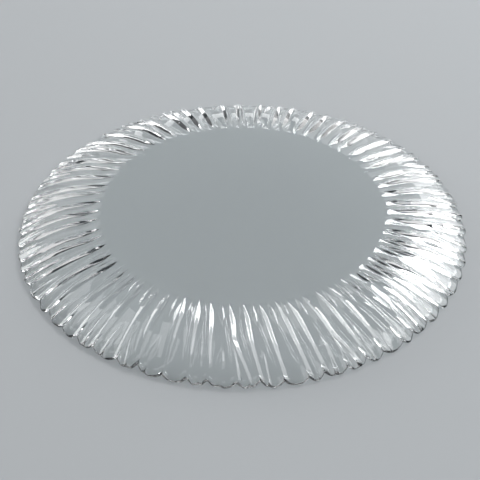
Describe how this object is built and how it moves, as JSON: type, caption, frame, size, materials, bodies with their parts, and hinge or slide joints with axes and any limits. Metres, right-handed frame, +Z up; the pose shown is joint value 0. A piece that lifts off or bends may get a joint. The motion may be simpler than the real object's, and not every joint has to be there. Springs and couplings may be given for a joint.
{
  "type": "round serving platter",
  "caption": "Round serving platter of clear pressed glass with a flat centre, a swirled and fluted rim and a scalloped edge, lying face down.",
  "frame": {"origin": "centre of the plane that the rim rests on when the platter lies face down, as pictured", "axes": "+Z up through the middle of the flat base, +X to the right and +Y away from the picture's camera"},
  "size_m": [0.32, 0.3199, 0.021],
  "materials": {
    "clear_glass": "pressed and fire polished, clear"
  },
  "bodies": {
    "root": {"platter": "clear_glass"}
  },
  "joints": []
}
